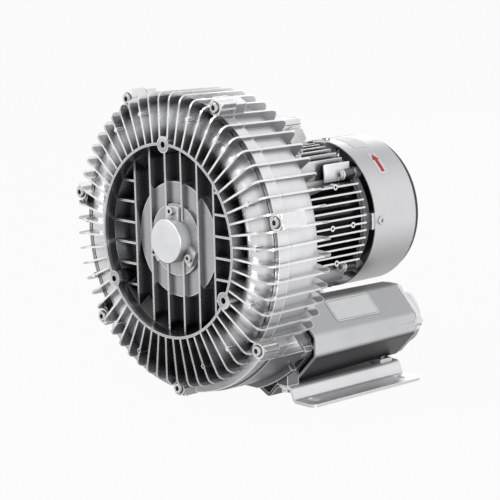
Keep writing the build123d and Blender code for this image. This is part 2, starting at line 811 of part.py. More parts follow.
def end_shield():
    end = shield_y + shield_t
    section = rect(bearing_r + fit, frame_wall_r + 8, shield_y + fit, end)
    section += rect(bearing_r + fit, bearing_r + 8, shield_y - 6, rear_bearing_y + bearing_w + 2)
    section += rect(frame_bore_r - 6, frame_bore_r - fit, shield_y - 5, end)
    seat_y = rear_bearing_y + bearing_w
    section += rect(bearing_bore_r + 5, bearing_r + 1, seat_y, seat_y + 3)
    section -= rect(bearing_r + 12, frame_bore_r - 10, shield_y - 1, shield_y + 3)
    body = spun(section)
    adds = []
    for i in range(4):
        angle = 90 * i
        foot = block(-10, 10, shield_y + fit, cowl_screw_y + 7, frame_wall_r + 4, cowl_r)
        inside = disc(cowl_r - cowl_t - fit, shield_y, cowl_screw_y + 8)
        adds.append(clock(foot, angle) & inside)
        adds.append(clock(disc(lug_r, shield_y + fit, end, 0, lug_circle_r), angle + 45))
        adds.append(clock(radial_plate(rect(bearing_r + 6, frame_wall_r, end - 1, end + 5), 3), angle + 45))
    body = body.fuse(*adds)
    cuts = []
    for i in range(4):
        hole = disc(motor_screw_r + bore_play, shield_y - 1, end + 1, 0, lug_circle_r)
        cuts.append(clock(hole, 90 * i + 45))
        cuts.append(clock(Pos(0, cowl_screw_y, cowl_r) * Cylinder(cowl_screw_r + fit, 20), 90 * i))
    return body.cut(*cuts)


# ---- Fan and cowl --------------------------------------------------------


def cooling_fan():
    end = fan_front_y + fan_w
    section = rect(fan_seat_r + fit, fan_seat_r + 8, fan_front_y, end - 2)
    cone = Polygon(
        (fan_seat_r + 7, fan_front_y + 2),
        (fan_r - 14, fan_front_y + 12),
        (fan_r - 14, fan_front_y + 14.5),
        (fan_seat_r + 7, fan_front_y + 5),
        align=None,
    )
    body = spun(section + cone)
    blade = Polygon(
        (fan_seat_r + 7, fan_front_y + 3),
        (fan_r - 14, fan_front_y + 6),
        (fan_r, fan_front_y + 8),
        (fan_r, end),
        (fan_r * 0.6, end),
        (fan_seat_r + 7, end - 8),
        align=None,
    )
    blade = rounded(blade, (fan_r, end), 5.0)
    plate = radial_plate(blade, fan_blade_t)
    return body.fuse(*[clock(plate, i * 360 / fan_blades) for i in range(fan_blades)])


def fan_circlip():
    start = fan_front_y + fan_w - 1.4 + fit
    body = ring(fan_seat_r - 0.8 + fit, fan_seat_r + 4, start, start + 1.2)
    return body - block(-2.5, 2.5, start - 1, start + 3, 0, fan_seat_r + 6)


def fan_cowl():
    inner_r = cowl_r - cowl_t
    hole_r = grille_r - 5
    outer = rect(hole_r, cowl_r, cowl_front_y, cowl_rear_y)
    outer = rounded(outer, (cowl_r, cowl_rear_y), cowl_bend)
    inner = rect(0, inner_r, cowl_front_y - 1, cowl_rear_y - cowl_t)
    inner = rounded(inner, (inner_r, cowl_rear_y - cowl_t), cowl_bend - cowl_t)
    body = spun(outer - inner)
    hole = Pos(0, cowl_screw_y, cowl_r) * Cylinder(cowl_screw_r + bore_play, 8)
    holes = [clock(hole, 90 * i) for i in range(4)]
    return body.cut(*holes)


def cowl_screw_set():
    one = Rot(-90, 0, 0) * screw(cowl_screw_r, 5.0, 2.6, 9.0)
    one = Pos(0, cowl_screw_y, cowl_r + 0.1) * one
    return [clock(one, 90 * i) for i in range(4)]


def cowl_grille():
    """Round guard of rings and spokes, pressed into the cowl's rear opening."""
    seat_r = grille_r - 5 - fit
    rim = rect(seat_r - 3, seat_r, cowl_rear_y - 4, grille_y - 1)
    rim += rect(seat_r - 3, grille_r, cowl_rear_y + fit, grille_y)
    rim = rounded(rim, (grille_r, grille_y), 3.0)
    back_y = grille_y - 3.0
    for i in range(5):
        r = 28 + i * 10.5
        rim += rect(r, r + 2.6, back_y, grille_y)
    body = spun(rim)
    body += disc(20, back_y, grille_y)
    spoke = block(-1.6, 1.6, back_y, grille_y, 18, seat_r - 1)
    return body.fuse(*[clock(spoke, i * 45) for i in range(8)])


# ---- Terminal box --------------------------------------------------------


def box_rect(inset, bend):
    return RectangleRounded(box_w - 2 * inset, box_d - 2 * inset, bend)


def up_from(sketch, z0, z1):
    return extrude(Pos(0, box_mid_y, z0) * sketch, z1 - z0)


def lid_points():
    x = box_w / 2 - lid_screw_inset
    y = box_d / 2 - lid_screw_inset
    return [(i * x, box_mid_y + j * y) for i in side_x for j in side_x]


def entries():
    return [box_mid_y + i * entry_pitch / 2 for i in side_x]


def terminal_box():
    body = up_from(box_rect(0, 6), box_low_z, box_high_z)
    body -= up_from(box_rect(box_wall, 3), box_low_z + box_wall, box_high_z + 1)
    for x, y in lid_points():
        post = Pos(x, y, (box_low_z + box_high_z) / 2) * Cylinder(4.8, box_high_z - box_low_z)
        body += post
    for y in entries():
        spot = Pos(box_w / 2 + entry_boss_len / 2 - 0.5, y, entry_z) * Rot(0, 90, 0)
        body += spot * Cylinder(entry_boss_r - 0.8, entry_boss_len + 1)
    cuts = [Pos(0, box_mid_y, box_low_z) * Cylinder(9, 3 * box_wall)]
    for y in entries():
        reach = entry_boss_len + box_wall + 0.6
        spot = Pos(box_w / 2 + entry_boss_len + 0.5 - reach / 2, y, entry_z)
        cuts.append(spot * Rot(0, 90, 0) * Cylinder(entry_r, reach))
    spot = Pos(box_w / 2, earth_y, box_low_z + 4.6) * Rot(0, 90, 0)
    cuts.append(spot * Cylinder(earth_screw_r + fit, 4 * box_wall))
    for x, y in lid_points():
        cuts.append(Pos(x, y, box_high_z - 8) * Cylinder(2 + fit, 20))
    for x in side_x:
        for y in side_x:
            spot = Pos(x * box_screw_x, box_mid_y + y * box_screw_y, box_low_z)
            cuts.append(spot * Cylinder(2 + bore_play, 3 * box_wall))
    return body.cut(*cuts)


def box_gasket():
    body = up_from(box_rect(0.6, 5) - box_rect(box_wall, 3), box_high_z, box_high_z + box_gasket_t)
    return body


def box_lid():
    z0 = box_high_z + box_gasket_t
    body = up_from(box_rect(0, 6), z0, z0 + lid_t)
    body = fillet(body.faces().sort_by(Axis.Z)[-1].edges(), 2.5)
    body -= up_from(box_rect(box_wall + 10, 3), z0 - 1, z0 + lid_t - 2.5)
    for x, y in lid_points():
        body -= Pos(x, y, z0) * Cylinder(2 + bore_play, 4 * lid_t)
        body -= Pos(x, y, z0 + lid_t) * Cylinder(4.4, 4)
    return body


def upright(piece, x, y, z):
    """A screw drawn along +Y, pointed down at a place."""
    return Pos(x, y, z) * Rot(-90, 0, 0) * piece


def lid_screw_set():
    top = box_high_z + box_gasket_t + lid_t - 2
    one = screw(2.0, 3.8, 2.4, lid_t + 9)
    return [upright(one, x, y, top) for x, y in lid_points()]


def box_screw_set():
    one = screw(2.0, 3.6, 2.6, box_wall + 9)
    spots = [(x * box_screw_x, box_mid_y + y * box_screw_y) for x in side_x for y in side_x]
    return [upright(one, x, y, box_low_z + box_wall) for x, y in spots]


def terminal_board():
    base = box_low_z + box_wall
    body = block(-26, 26, box_mid_y - 15, box_mid_y + 15, base + 0.1, base + 6)
    body -= block(-22, 22, box_mid_y - 10, box_mid_y + 10, base, base + 3)
    body -= Pos(0, box_mid_y, base) * Cylinder(8, 20)
    return body


def terminal_stud_set():
    top = box_low_z + box_wall + 6
    studs = []
    for x in (-18, 0, 18):
        for y in side_x:
            spot = Pos(x, box_mid_y + y * 11.5, top)
            studs.append(spot * (Pos(0, 0, 6) * Cylinder(2, 12) + extrude(RegularPolygon(3.8, 6), 3.2)))
    return studs


def earth_screw():
    x = box_w / 2 + 0.1
    one = Rot(0, 0, 90) * screw(earth_screw_r, 4.0, 2.6, box_wall + 3)
    return Pos(x, earth_y, box_low_z + 4.6) * one


def blanking_plugs():
    start = box_w / 2 + entry_boss_len + 0.5
    plugs = []
    for y in entries():
        head = extrude(Plane.YZ * RegularPolygon(entry_r + 1.6, 6), 5)
        stem = Pos(-entry_stem / 2 + 0.5, 0, 0) * Rot(0, 90, 0) * Cylinder(entry_r - fit, entry_stem + 1)
        plugs.append(Pos(start + fit, y, entry_z) * (fillet(head.edges().group_by(Axis.X)[-1], 1.2) + stem))
    return plugs


# ---- Silencers -----------------------------------------------------------


def silencer_solid(inset, y0, y1):
    """A silencer-shaped solid that widens towards the front by the casting draft."""
    at_rear = Pos(0, silencer_rear_y, 0) * (cross * silencer_outline(inset, 0 if inset else None))
    full = extrude(at_rear, silencer_rear_y - silencer_front_y, taper=-silencer_draft)
    keep = block(-99, 99, y0, y1, -99, 99)
    return full & keep


def silencer_body(side):
    body = silencer_solid(0, silencer_front_y, silencer_rear_y)
    body -= silencer_solid(silencer_wall, silencer_front_y - 1, silencer_rear_y - silencer_wall)
    for x in (-tie_x, tie_x):
        body += disc(tie_post_r, silencer_front_y, silencer_rear_y, x, 0)
        low, high = sorted((x, 1.25 * x))
        body += block(low, high, silencer_front_y, silencer_rear_y, -1.5, 1.5)
        body -= disc(tie_screw_r + bore_play, silencer_front_y - 1, silencer_rear_y + 1, x, 0)
    body -= disc(tube_r + fit, silencer_rear_y - silencer_wall - 1, silencer_rear_y + 1)
    body = at_silencer(body, side)
    x = side * leg_x
    drop = (silencer_rear_y - rear_pad_y) * tan(radians(silencer_draft))
    low = silencer_z - silencer_half_h - drop
    pad = block(x - leg_w / 2, x + leg_w / 2, rear_pad_y - 10, rear_pad_y + 10, hump_z, low + silencer_wall)
    pad += Pos(x, rear_pad_y, low + 6) * Cylinder(7, 16)
    within = at_silencer(silencer_solid(0, silencer_front_y, silencer_rear_y), side)
    pad &= within + block(x - 20, x + 20, rear_pad_y - 12, rear_pad_y + 12, hump_z, low + 1)
    body += pad
    return body - Pos(x, rear_pad_y, hump_z + 6) * Cylinder(foot_screw_r + fit, 14)


def silencer_tube(side):
    body = ring(tube_r - tube_t, tube_r, silencer_front_y + 0.1, silencer_rear_y)
    return at_silencer(body, side)


def silencer_foam(side):
    y0 = silencer_front_y + 2
    y1 = silencer_rear_y - silencer_wall - 2
    body = silencer_solid(silencer_wall + 6.5, y0, y1) - disc(tube_r + fit, y0 - 1, y1 + 1)
    for x in (-tie_x, tie_x):
        body -= disc(tie_post_r + 1, y0 - 1, y1 + 1, x, 0)
        low, high = sorted((x, 1.3 * x))
        body -= block(low, high, y0 - 1, y1 + 1, -2.5, 2.5)
    x = leg_x - silencer_x
    body -= Pos(side * x, rear_pad_y, -silencer_half_h) * Cylinder(9, 44)
    return at_silencer(body, side)


def silencer_end(side):
    """End casting with the threaded port, held off the body by a narrow gap."""
    y0 = silencer_rear_y + end_gap
    y1 = y0 + end_t
    body = along_shaft(silencer_outline(1.5), y0, y1)
    body = fillet(body.edges().group_by(Axis.Y)[-1], 2.5)
    body += disc(end_boss_r, silencer_rear_y + 0.05, y1 + end_boss_len)
    for x in (-tie_x, tie_x):
        body += disc(tie_post_r + 2.5, silencer_rear_y + 0.05, y1 + 2, x, 0)
    body -= disc(port_thread_r, silencer_rear_y - 1, y1 + end_boss_len + 1)
    for x in (-tie_x, tie_x):
        body -= disc(tie_screw_r + bore_play, silencer_rear_y - 1, y1 + 3, x, 0)
        body -= disc(tie_head_room, y1 + 2, y1 + end_boss_len + 1, x, 0)
    return at_silencer(body, side)


def silencer_tie_screw_set():
    start = silencer_rear_y + end_gap + end_t + 2
    one = Rot(180, 0, 0) * hex_screw(tie_screw_r, 10, 4, start - silencer_front_y + 14)
    spots = [(side * silencer_x + x) for side in side_x for x in (-tie_x, tie_x)]
    return [Pos(x, start, silencer_z) * one for x in spots]


# ---- Feet ----------------------------------------------------------------


def bent_sheet(points, thickness, bend):
    """A sheet profile: the given outline is its left-hand face, offset to the right."""
    normals = []
    for (x0, z0), (x1, z1) in zip(points, points[1:]):
        run = hypot(x1 - x0, z1 - z0)
        normals.append(((z1 - z0) / run, -(x1 - x0) / run))
    other = [(points[0][0] + normals[0][0] * thickness, points[0][1] + normals[0][1] * thickness)]
    near_r, far_r = [], []
    for (x, z), a, b in zip(points[1:-1], normals, normals[1:]):
        share = thickness / (1 + a[0] * b[0] + a[1] * b[1])
        other.append((x + (a[0] + b[0]) * share, z + (a[1] + b[1]) * share))
        turns_left = a[0] * b[1] - a[1] * b[0] > 0
        near_r.append(bend if turns_left else bend + thickness)
        far_r.append(bend + thickness if turns_left else bend)
    last, n = points[-1], normals[-1]
    other.append((last[0] + n[0] * thickness, last[1] + n[1] * thickness))
    near = FilletPolyline(*points, radius=near_r)
    far = FilletPolyline(*other, radius=far_r)
    ends = [Line(points[0], other[0]), Line(points[-1], other[-1])]
    return make_face([near, far, *ends])


def foot_profile():
    outline = [
        (leg_x + foot_outer, floor_z),
        (leg_x + foot_bend_out, floor_z),
        (leg_x + hump_half, hump_z - foot_t),
        (leg_x - hump_half, hump_z - foot_t),
        (leg_x - trough_in, floor_z),
        (leg_x - foot_inner, floor_z + foot_inner_rise),
    ]
    return bent_sheet(outline, foot_t, foot_bend)


def foot_rail(side):
    start = rim_to_feet - foot_len / 2
    body = along_shaft(foot_profile(), start, start + foot_len)
    for end in side_x:
        y = rim_to_feet + end * foot_slot_pitch_y / 2
        slot = SlotOverall(foot_slot_len, foot_slot_w)
        body -= extrude(Pos(leg_x + foot_slot_out, y, floor_z - 1) * slot, foot_t + 2)
    for y in (leg_y, rear_pad_y):
        body -= Pos(leg_x, y, hump_z) * Cylinder(foot_screw_r + bore_play, 3 * foot_t)
    tall = [e for e in body.edges().filter_by(Axis.Z) if e.center().X > leg_x + foot_outer - 1]
    body = fillet(tall, 7.0)
    return body if side > 0 else mirror(body, Plane.YZ)


def foot_screw_set():
    one = Rot(90, 0, 0) * hex_screw(foot_screw_r, 13, 5, foot_t + 11)
    spots = [(side * leg_x, y) for side in side_x for y in (leg_y, rear_pad_y)]
    return [Pos(x, y, hump_z - foot_t) * one for x, y in spots]


# ---- The blower ----------------------------------------------------------


def blower():
    nodes = {
        "front_cover": front_cover(),
        "rear_housing": rear_housing(),
        "cover_gasket": cover_gasket(),
        "cover_screws": cover_screw_set(),
        "bearing_cap": bearing_cap(),
        "bearing_cap_screws": bearing_cap_screw_set(),
        "wave_washer": wave_washer(),
        "shaft": shaft(),
        "shaft_seal": shaft_seal(),
        "impeller": impeller(),
        "impeller_key": key_block(),
        "impeller_washer": impeller_washer(),
        "impeller_nut": impeller_nut(),
        "motor_frame": motor_frame(),
        "motor_screws": motor_screw_set(),
        "stator_core": stator_core(),
        "stator_windings": stator_windings(),
        "rotor_core": rotor_core(),
        "rotor_end_rings": rotor_end_rings(),
        "end_shield": end_shield(),
        "cooling_fan": cooling_fan(),
        "fan_circlip": fan_circlip(),
        "fan_cowl": fan_cowl(),
        "cowl_screws": cowl_screw_set(),
        "cowl_grille": cowl_grille(),
        "terminal_box": terminal_box(),
        "terminal_box_gasket": box_gasket(),
        "terminal_box_lid": box_lid(),
        "lid_screws": lid_screw_set(),
        "terminal_box_screws": box_screw_set(),
        "terminal_board": terminal_board(),
        "terminal_studs": terminal_stud_set(),
        "earth_screw": earth_screw(),
        "blanking_plugs": blanking_plugs(),
        "silencer_tie_screws": silencer_tie_screw_set(),
        "foot_screws": foot_screw_set(),
    }
    for name, start in (("front", front_bearing_y), ("rear", rear_bearing_y)):
        outer, inner, balls = bearing(start)
        nodes[name + "_bearing_outer_race"] = outer
        nodes[name + "_bearing_inner_race"] = inner
        nodes[name + "_bearing_balls"] = balls
    for name, side in (("left", -1), ("right", 1)):
        nodes["silencer_body_" + name] = silencer_body(side)
        nodes["silencer_tube_" + name] = silencer_tube(side)
        nodes["silencer_foam_" + name] = silencer_foam(side)
        nodes["silencer_end_" + name] = silencer_end(side)
        nodes["foot_rail_" + name] = foot_rail(side)
    return nodes


os.makedirs("parts", exist_ok=True)
placing = Pos(0, -rim_to_feet, axis_height)
for node, shape in blower().items():
    pieces = shape if isinstance(shape, list) else [shape]
    solids = [solid for piece in pieces for solid in (placing * piece).solids()]
    export_step(Compound(children=solids) if len(solids) > 1 else solids[0], f"parts/{node}.step")
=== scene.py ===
import json
import math

import bpy
from mathutils import Matrix, Vector


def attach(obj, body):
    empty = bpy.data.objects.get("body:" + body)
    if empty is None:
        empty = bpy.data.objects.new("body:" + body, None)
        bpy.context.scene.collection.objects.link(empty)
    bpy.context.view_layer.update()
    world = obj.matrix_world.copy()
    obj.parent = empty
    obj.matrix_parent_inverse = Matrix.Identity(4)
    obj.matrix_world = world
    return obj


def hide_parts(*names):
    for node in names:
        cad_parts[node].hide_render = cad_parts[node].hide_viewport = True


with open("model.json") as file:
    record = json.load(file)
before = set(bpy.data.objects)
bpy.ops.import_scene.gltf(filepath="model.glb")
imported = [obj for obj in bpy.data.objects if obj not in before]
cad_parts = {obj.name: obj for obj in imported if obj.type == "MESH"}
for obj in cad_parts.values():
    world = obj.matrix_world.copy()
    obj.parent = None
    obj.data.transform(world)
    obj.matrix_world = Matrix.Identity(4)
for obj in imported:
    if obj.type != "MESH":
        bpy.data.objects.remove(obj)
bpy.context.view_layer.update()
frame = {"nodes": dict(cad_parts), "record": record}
nodes = frame["nodes"]
scene = bpy.context.scene
scene.view_settings.view_transform = "Standard"

# the shaft line runs along +Y at this height over the feet, and the cover's rim plane is at rimY
shaft = {"height": 0.195, "rimY": -0.188}

camera = {
    "azimuth": 47.589,
    "elevation": 10.514,
    "roll": -1.3485,
    "distance": 2.42067,
    "aside": 0.098749,
    "rise": -0.012311,
    "sensor": 36.0,
    "focalInFrames": 2059.173 / 500,
    "nearest": 0.05,
    "farthest": 60,
}


def makeCamera():
    turn = math.radians(camera["azimuth"])
    tilt = math.radians(camera["elevation"])
    roll = math.radians(camera["roll"])
    back = Vector((math.sin(turn) * math.cos(tilt), -math.cos(turn) * math.cos(tilt), math.sin(tilt)))
    right = (-back).cross(Vector((0, 0, 1))).normalized()
    up = right.cross(-back)
    target = Vector((0, shaft["rimY"], shaft["height"])) + right * camera["aside"] + up * camera["rise"]
    xAxis = right * math.cos(roll) + up * math.sin(roll)
    yAxis = up * math.cos(roll) - right * math.sin(roll)
    data = bpy.data.cameras.new("camera")
    data.sensor_width = camera["sensor"]
    data.lens = camera["focalInFrames"] * camera["sensor"]
    data.clip_start = camera["nearest"]
    data.clip_end = camera["farthest"]
    seat = bpy.data.objects.new("camera", data)
    place = Matrix((xAxis, yAxis, back)).transposed().to_4x4()
    place.translation = target + back * camera["distance"]
    seat.matrix_world = place
    scene.collection.objects.link(seat)
    scene.camera = seat


makeCamera()
print("camera placed")

lamps = {
    "keyRight": {"place": (2.6, -0.6, 0.38), "size": 1.0, "watts": 44},
    "frontLeft": {"place": (-1.2, -2.3, 1.3), "size": 0.9, "watts": 25},
    "over": {"place": (-0.6, -0.9, 2.5), "size": 1.2, "watts": 7},
    "behind": {"place": (-1.4, 2.2, 1.3), "size": 1.2, "watts": 10},
}
lampsAim = Vector((0, 0, 0.18))


def makeLamps():
    for name, lamp in lamps.items():
        data = bpy.data.lights.new(name, "AREA")
        data.shape = "SQUARE"
        data.size = lamp["size"]
        data.energy = lamp["watts"]
        seat = bpy.data.objects.new(name, data)
        seat.location = lamp["place"]
        seat.rotation_euler = (lampsAim - Vector(lamp["place"])).to_track_quat("-Z", "Y").to_euler()
        scene.collection.objects.link(seat)


room = {
    "background": 1.0,
    "ambient": 0.26,
    "floor": 0.62,
    "floorSize": 14.0,
    "floorSides": 96,
    "floorGlow": 0.95,
}


def addNode(tree, kind, **settings):
    made = tree.nodes.new(kind)
    for key, value in settings.items():
        if key in made.inputs:
            made.inputs[key].default_value = value
        else:
            setattr(made, key, value)
    return made


def combine(tree, operation, first, second=None):
    made = addNode(tree, "ShaderNodeMath", operation=operation)
    tree.links.new(first, made.inputs[0])
    if second is not None:
        tree.links.new(second, made.inputs[1])
    return made.outputs[0]


# what the camera sees, straight or in a mirror or through glass
def cameraOrMirror(tree):
    path = addNode(tree, "ShaderNodeLightPath")
    seen = combine(tree, "MAXIMUM", path.outputs["Is Camera Ray"], path.outputs["Is Glossy Ray"])
    return combine(tree, "MAXIMUM", seen, path.outputs["Is Transmission Ray"])


def makeRoom():
    world = bpy.data.worlds.new("room")
    scene.world = world
    world.use_nodes = True
    tree = world.node_tree
    tree.nodes.clear()
    seen = addNode(tree, "ShaderNodeBackground", Color=(1, 1, 1, 1), Strength=room["background"])
    lit = addNode(tree, "ShaderNodeBackground", Color=(1, 1, 1, 1), Strength=room["ambient"])
    mix = addNode(tree, "ShaderNodeMixShader")
    out = addNode(tree, "ShaderNodeOutputWorld")
    tree.links.new(cameraOrMirror(tree), mix.inputs[0])
    tree.links.new(lit.outputs[0], mix.inputs[1])
    tree.links.new(seen.outputs[0], mix.inputs[2])
    tree.links.new(mix.outputs[0], out.inputs[0])

    bpy.ops.mesh.primitive_circle_add(vertices=room["floorSides"], radius=room["floorSize"], fill_type="NGON")
    floor = bpy.context.object
    floor.name = "floor"
    paint = bpy.data.materials.new("floorPaint")
    paint.use_nodes = True
    tree = paint.node_tree
    tree.nodes.clear()
    shade = addNode(tree, "ShaderNodeBsdfDiffuse", Color=(room["floor"],) * 3 + (1,))
    glow = addNode(tree, "ShaderNodeEmission", Color=(1, 1, 1, 1), Strength=1.0)
    share = addNode(tree, "ShaderNodeMath", operation="MULTIPLY")
    share.inputs[1].default_value = room["floorGlow"]
    mix = addNode(tree, "ShaderNodeMixShader")
    out = addNode(tree, "ShaderNodeOutputMaterial")
    tree.links.new(cameraOrMirror(tree), share.inputs[0])
    tree.links.new(share.outputs[0], mix.inputs[0])
    tree.links.new(shade.outputs[0], mix.inputs[1])
    tree.links.new(glow.outputs[0], mix.inputs[2])
    tree.links.new(mix.outputs[0], out.inputs["Surface"])
    floor.data.materials.append(paint)


makeLamps()
makeRoom()
print("light and floor made")


def makeGroup(name, inputs, outputs):
    group = bpy.data.node_groups.new(name, "ShaderNodeTree")
    for label, value in inputs.items():
        socket = group.interface.new_socket(label, in_out="INPUT", socket_type="NodeSocketFloat")
        socket.default_value = value
    for label in outputs:
        group.interface.new_socket(label, in_out="OUTPUT", socket_type="NodeSocketFloat")
    return group, addNode(group, "NodeGroupInput"), addNode(group, "NodeGroupOutput")


castEffect = {
    "grainScale": 900.0,
    "grainDetail": 3.0,
    "grainRoughness": 0.6,
    "pitScale": 260.0,
    "pits": 0.4,
    "blotchScale": 26.0,
    "blotchDetail": 5.0,
    "blotchRoughness": 0.62,
}


def grainGroup():
    group, given, out = makeGroup(
        "castGrain",
        {
            "Grain Scale": castEffect["grainScale"],
            "Pit Scale": castEffect["pitScale"],
            "Pits": castEffect["pits"],
            "Blotch Scale": castEffect["blotchScale"],
        },
        ["Height", "Blotch"],
    )
    where = addNode(group, "ShaderNodeTexCoord")
    grain = addNode(
        group, "ShaderNodeTexNoise", Detail=castEffect["grainDetail"], Roughness=castEffect["grainRoughness"]
    )
    pits = addNode(group, "ShaderNodeTexVoronoi", feature="SMOOTH_F1")
    shallow = addNode(group, "ShaderNodeMath", operation="MULTIPLY")
    height = addNode(group, "ShaderNodeMath", operation="ADD")
    blotch = addNode(
        group, "ShaderNodeTexNoise", Detail=castEffect["blotchDetail"], Roughness=castEffect["blotchRoughness"]
    )
    for tex in (grain, pits, blotch):
        group.links.new(where.outputs["Object"], tex.inputs["Vector"])
    group.links.new(given.outputs["Grain Scale"], grain.inputs["Scale"])
    group.links.new(given.outputs["Pit Scale"], pits.inputs["Scale"])
    group.links.new(given.outputs["Blotch Scale"], blotch.inputs["Scale"])
    group.links.new(pits.outputs["Distance"], shallow.inputs[0])
    group.links.new(given.outputs["Pits"], shallow.inputs[1])
    group.links.new(grain.outputs["Fac"], height.inputs[0])
    group.links.new(shallow.outputs[0], height.inputs[1])
    group.links.new(height.outputs[0], out.inputs["Height"])
    group.links.new(blotch.outputs["Fac"], out.inputs["Blotch"])
    return group


# painted shade and highlight: ambient occlusion darkens recesses, convex edges are painted bright, and faces turned
# down or up get painted shade
paintedShadeEffect = {
    "reach": 0.02,
    "edgeReach": 0.003,
    "depth": 1.0,
    "openSamples": 12,
    "edgeSamples": 8,
    "flat": 0.86,  # flat faces get no painted edge highlight
    "corner": 0.56,  # convex corners get the painted edge highlight colour
    "underFrom": 0.0,  # a face's upward share where its painted under-shade starts
    "underFull": -0.6,  # and where it is full
    # a face's upward share where its painted top shade starts
    "topFrom": 0.35,
}


# Open is the painted recess shade, Edge the painted edge highlight, and the downward and upward face masks paint shade
def paintedShadeGroup():
    group, given, out = makeGroup(
        "paintedShadeAndHighlight",
        {"Reach": paintedShadeEffect["reach"], "Edge Reach": paintedShadeEffect["edgeReach"], "Depth": paintedShadeEffect["depth"]},
        ["Open", "Edge", "Under Shade", "Top"],
    )
    around = addNode(group, "ShaderNodeAmbientOcclusion", samples=paintedShadeEffect["openSamples"])
    inside = addNode(group, "ShaderNodeAmbientOcclusion", samples=paintedShadeEffect["edgeSamples"], inside=True)
    power = addNode(group, "ShaderNodeMath", operation="POWER")
    edgeHighlight = addNode(group, "ShaderNodeMapRange", interpolation_type="SMOOTHSTEP")
    edgeHighlight.inputs["From Min"].default_value = paintedShadeEffect["flat"]
    edgeHighlight.inputs["From Max"].default_value = paintedShadeEffect["corner"]
    group.links.new(given.outputs["Reach"], around.inputs["Distance"])
    group.links.new(given.outputs["Edge Reach"], inside.inputs["Distance"])
    group.links.new(around.outputs["AO"], power.inputs[0])
    group.links.new(given.outputs["Depth"], power.inputs[1])
    group.links.new(inside.outputs["AO"], edgeHighlight.inputs["Value"])
    group.links.new(power.outputs[0], out.inputs["Open"])
    group.links.new(edgeHighlight.outputs[0], out.inputs["Edge"])
    skin = addNode(group, "ShaderNodeNewGeometry")
    split = addNode(group, "ShaderNodeSeparateXYZ")
    under = addNode(group, "ShaderNodeMapRange", interpolation_type="SMOOTHSTEP")
    under.inputs["From Min"].default_value = paintedShadeEffect["underFrom"]
    under.inputs["From Max"].default_value = paintedShadeEffect["underFull"]
    group.links.new(skin.outputs["Normal"], split.inputs[0])
    group.links.new(split.outputs["Z"], under.inputs["Value"])
    group.links.new(under.outputs[0], out.inputs["Under Shade"])
    top = addNode(group, "ShaderNodeMapRange", interpolation_type="SMOOTHSTEP")
    top.inputs["From Min"].default_value = paintedShadeEffect["topFrom"]
    group.links.new(split.outputs["Z"], top.inputs["Value"])
    group.links.new(top.outputs[0], out.inputs["Top"])
    return group


strokeEffect = {"fineness": 700.0, "alongY": 0.04, "detail": 2.0}


def strokeGroup():
    group, given, out = makeGroup(
        "strokes",
        {"Fineness": strokeEffect["fineness"], "Along Y": strokeEffect["alongY"]},
        ["Height"],
    )
    where = addNode(group, "ShaderNodeTexCoord")
    split = addNode(group, "ShaderNodeSeparateXYZ")
    slow = addNode(group, "ShaderNodeMath", operation="MULTIPLY")
    again = addNode(group, "ShaderNodeCombineXYZ")
    noise = addNode(group, "ShaderNodeTexNoise", Detail=strokeEffect["detail"])
    group.links.new(where.outputs["Object"], split.inputs[0])
    group.links.new(split.outputs["Y"], slow.inputs[0])
    group.links.new(given.outputs["Along Y"], slow.inputs[1])
    group.links.new(split.outputs["X"], again.inputs["X"])
    group.links.new(slow.outputs[0], again.inputs["Y"])
    group.links.new(split.outputs["Z"], again.inputs["Z"])
    group.links.new(again.outputs[0], noise.inputs["Vector"])
    group.links.new(given.outputs["Fineness"], noise.inputs["Scale"])
    group.links.new(noise.outputs["Fac"], out.inputs["Height"])
    return group


castGrain = grainGroup()
paintedShadeAndHighlight = paintedShadeGroup()
strokes = strokeGroup()


def placeGroup(tree, group, **values):
    made = tree.nodes.new("ShaderNodeGroup")
    made.node_tree = group
    for label, value in values.items():
        made.inputs[label.replace("_", " ")].default_value = value
    return made


colourSockets = {"first": 6, "second": 7, "mixed": 2}  # a Mix node's colour sockets, by place


def mixColours(tree, factor, first, second):
    mix = addNode(tree, "ShaderNodeMix", data_type="RGBA")
    tree.links.new(factor, mix.inputs["Factor"])
    for side, value in (("first", first), ("second", second)):
        socket = mix.inputs[colourSockets[side]]
        if isinstance(value, bpy.types.NodeSocket):
            tree.links.new(value, socket)
        else:
            socket.default_value = tuple(value) + (1,)
    return mix.outputs[colourSockets["mixed"]]


def spread(tree, value, low, high, start=0.0, end=1.0):
    span = addNode(tree, "ShaderNodeMapRange")
    span.inputs["From Min"].default_value = start
    span.inputs["From Max"].default_value = end
    span.inputs["To Min"].default_value = low
    span.inputs["To Max"].default_value = high
    tree.links.new(value, span.inputs["Value"])
    return span.outputs[0]


# where a point is: off the shaft line, along it, over the floor, off the middle plane, over or under the shaft
def placeMeasures(tree):
    where = addNode(tree, "ShaderNodeTexCoord")
    split = addNode(tree, "ShaderNodeSeparateXYZ")
    flat = addNode(tree, "ShaderNodeCombineXYZ")
    radius = addNode(tree, "ShaderNodeVectorMath", operation="LENGTH")
    lower = addNode(tree, "ShaderNodeMath", operation="SUBTRACT")
    lower.inputs[1].default_value = shaft["height"]
    tree.links.new(where.outputs["Object"], split.inputs[0])
    tree.links.new(split.outputs["Z"], lower.inputs[0])
    tree.links.new(split.outputs["X"], flat.inputs["X"])
    tree.links.new(lower.outputs[0], flat.inputs["Y"])
    tree.links.new(flat.outputs[0], radius.inputs[0])
    across = combine(tree, "ABSOLUTE", split.outputs["X"])
    rise = combine(tree, "ABSOLUTE", lower.outputs[0])
    return {
        "radius": radius.outputs["Value"], "y": split.outputs["Y"], "z": split.outputs["Z"],
        "across": across, "rise": rise,
    }


# each limit fades in from its first value to its second
def zoneMask(tree, measures, zone):
    mask = None
    for measure, start, end in zone["limits"]:
        step = spread(tree, measures[measure], 0.0, 1.0, start, end)
        mask = step if mask is None else combine(tree, "MULTIPLY", mask, step)
    return spread(tree, mask, 0.0, zone["share"])


